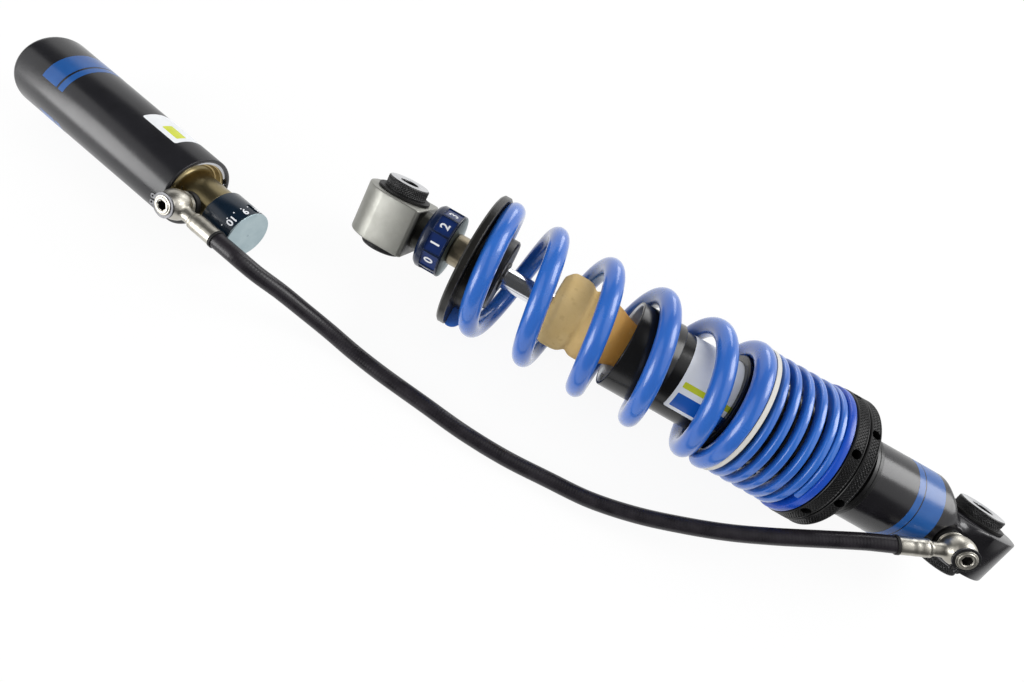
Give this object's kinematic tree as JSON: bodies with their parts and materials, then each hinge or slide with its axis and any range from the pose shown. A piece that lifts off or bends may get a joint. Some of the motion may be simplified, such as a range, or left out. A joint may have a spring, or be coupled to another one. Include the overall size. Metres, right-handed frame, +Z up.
{
  "type": "coil-over strut with remote reservoir",
  "caption": "Coil-over strut with helper spring, threaded collars, bump stop, click adjusters and bearing eyes, hose-linked to a separate gas reservoir.",
  "frame": {"origin": "centre of the lower mounting bolt's bore, with the strut lying on a bench", "axes": "+X along the strut from its upper eye to its lower mount, +Z up from the bench, +Y across to the strut's free side; the reservoir lies on the -Y side"},
  "size_m": [0.6239, 0.1288, 0.082],
  "materials": {
    "foot_black": "hard satin coat on steel",
    "tube_black": "satin black coat",
    "anodised_black": "black anodised aluminium",
    "cap_black": "satin black",
    "seat_brown": "hard-anodised aluminium, brown grey",
    "satin_steel": "bead-blasted and plated",
    "bright_steel": "ground",
    "dark_steel": "phosphated spring steel",
    "rod_chrome": "hard chrome, polished",
    "aluminium": "machined",
    "nickel": "satin nickel plate",
    "tan_anodised": "clear hard-anodised, tan",
    "spring_blue": "powder coat, semi-gloss",
    "slip_blue": "powder coat, semi-gloss",
    "ring_white": "moulded nylon",
    "wheel_blue": "blue anodised, white digits",
    "knob_blue": "blue anodised, white digits",
    "foam_cream": "cellular polyurethane",
    "seal_black": "nitrile",
    "hose_black": "smooth cover over braid",
    "reservoir_grey": "hard satin coat on aluminium",
    "band_tan": "filled bearing tape",
    "needle_steel": "ground",
    "valve_brass": "turned",
    "sleeve_black": "black zinc, knurled heads"
  },
  "bodies": {
    "damper_body": {"lower_foot": "foot_black", "damper_tube": "tube_black", "body_cap": "cap_black", "rod_guide": "aluminium", "rod_seal": "seal_black", "rod_wiper": "seal_black", "guide_snap_ring": "dark_steel", "collar_stop_ring": "anodised_black", "collar_o_ring": "seal_black", "bump_stop": "foam_cream", "helper_spring": "spring_blue", "lower_bearing_race": "bright_steel", "lower_circlips": "dark_steel", "strut_banjo_bolt": "nickel", "strut_bolt_circlip": "dark_steel", "strut_banjo_washer": "seal_black"},
    "slip_ring": {"collar_slip_ring": "slip_blue"},
    "collar": {"spring_collar": "anodised_black"},
    "locking_collar": {"lock_collar": "anodised_black"},
    "coupler": {"spring_coupler": "anodised_black", "coupler_ring": "ring_white", "main_spring": "spring_blue"},
    "rod": {"piston_rod": "rod_chrome", "piston": "aluminium", "piston_band": "band_tan", "shim_stacks": "bright_steel", "piston_nut": "dark_steel", "upper_spring_seat": "seat_brown", "seat_circlip": "dark_steel", "adjuster_stem": "tan_anodised", "upper_eye": "satin_steel", "upper_bearing_race": "bright_steel", "upper_circlips": "dark_steel"},
    "rebound_adjuster": {"rebound_wheel": "wheel_blue"},
    "rebound_stem": {"rebound_needle": "needle_steel"},
    "upper_sleeve": {"upper_bearing_ball": "bright_steel", "upper_spacers": "sleeve_black", "upper_seals": "seal_black"},
    "lower_sleeve": {"lower_bearing_ball": "bright_steel", "lower_spacers": "sleeve_black", "lower_seals": "seal_black"},
    "hose_line": {"strut_banjo": "nickel", "strut_ferrule": "nickel", "hose": "hose_black", "hose_end_rings": "seal_black", "reservoir_ferrule": "nickel", "reservoir_banjo": "nickel"},
    "reservoir": {"reservoir_tube": "reservoir_grey", "reservoir_end_cap": "tan_anodised", "reservoir_snap_ring": "satin_steel", "valve_housing": "tan_anodised", "reservoir_banjo_bolt": "nickel", "reservoir_bolt_circlip": "dark_steel", "reservoir_banjo_washer": "seal_black", "gas_valve": "valve_brass"},
    "divider": {"dividing_piston": "aluminium", "dividing_seal": "seal_black"},
    "compression_adjuster": {"compression_knob": "knob_blue"},
    "compression_stem": {"compression_needle": "needle_steel"}
  },
  "joints": [
    {"name": "rod_slide", "type": "slide", "parent": "damper_body", "child": "rod", "axis": [1, 0, 0], "range_m": [0, 0.05], "stiffness_N_per_m": 25000, "springref_m": -0.004, "deforming": ["main_spring", "helper_spring", "bump_stop"]},
    {"name": "coupler_slide", "type": "slide", "parent": "damper_body", "child": "coupler", "axis": [1, 0, 0], "range_m": [0, 0.0125], "deforming": ["main_spring", "helper_spring"]},
    {"name": "collar_travel", "type": "slide", "parent": "damper_body", "child": "slip_ring", "axis": [-1, 0, 0], "range_m": [0, 0.002], "deforming": ["helper_spring"]},
    {"name": "collar_turn", "type": "hinge", "parent": "slip_ring", "child": "collar", "pos_m": [-0.09825, 0, 0], "axis": [-1, 0, 0], "range_deg": [0, 360], "deforming": ["helper_spring"]},
    {"name": "lock_turn", "type": "hinge", "parent": "damper_body", "child": "locking_collar", "pos_m": [-0.09085, 0, 0], "axis": [-1, 0, 0], "range_deg": [-60, 0]},
    {"name": "rebound_click", "type": "hinge", "parent": "rod", "child": "rebound_adjuster", "pos_m": [-0.3457, 0, 0], "axis": [-1, 0, 0], "range_deg": [-288, 36]},
    {"name": "rebound_lift", "type": "slide", "parent": "rod", "child": "rebound_stem", "axis": [-1, 0, 0], "range_m": [-0.0009, 0.0002]},
    {"name": "upper_pivot", "type": "hinge", "parent": "rod", "child": "upper_sleeve", "pos_m": [-0.3761, 0, 0], "axis": [0, 0.7071, 0.7071], "continuous": true},
    {"name": "lower_pivot", "type": "hinge", "parent": "damper_body", "child": "lower_sleeve", "pos_m": [0, 0, 0], "axis": [0, 0.7071, 0.7071], "continuous": true},
    {"name": "hose_swivel", "type": "hinge", "parent": "damper_body", "child": "hose_line", "pos_m": [-0.02, -0.02263, 0.02263], "axis": [0, 0.7071, -0.7071], "range_deg": [-2, 1]},
    {"name": "reservoir_swivel", "type": "hinge", "parent": "hose_line", "child": "reservoir", "pos_m": [-0.47614, -0.06063, -0.00378], "axis": [0.1475, 0.7517, -0.6428], "range_deg": [0, 18]},
    {"name": "divider_slide", "type": "slide", "parent": "reservoir", "child": "divider", "axis": [-0.9813, 0.1925, 0], "range_m": [0, 0.0054]},
    {"name": "compression_click", "type": "hinge", "parent": "reservoir", "child": "compression_adjuster", "pos_m": [-0.45255, -0.04738, -0.0185], "axis": [0.9813, -0.1925, 0], "range_deg": [0, 324]},
    {"name": "compression_lift", "type": "slide", "parent": "reservoir", "child": "compression_stem", "axis": [0.9813, -0.1925, 0], "range_m": [0, 0.0009]}
  ],
  "couplings": [
    {"joint": "coupler_slide", "follows": "rod_slide", "ratio": 0.25},
    {"joint": "divider_slide", "follows": "rod_slide", "ratio": 0.1067},
    {"joint": "collar_travel", "follows": "collar_turn", "m_per_rad": 0.00031831},
    {"joint": "rebound_lift", "follows": "rebound_click", "m_per_rad": 0.00015915},
    {"joint": "compression_lift", "follows": "compression_click", "m_per_rad": 0.00015915}
  ]
}
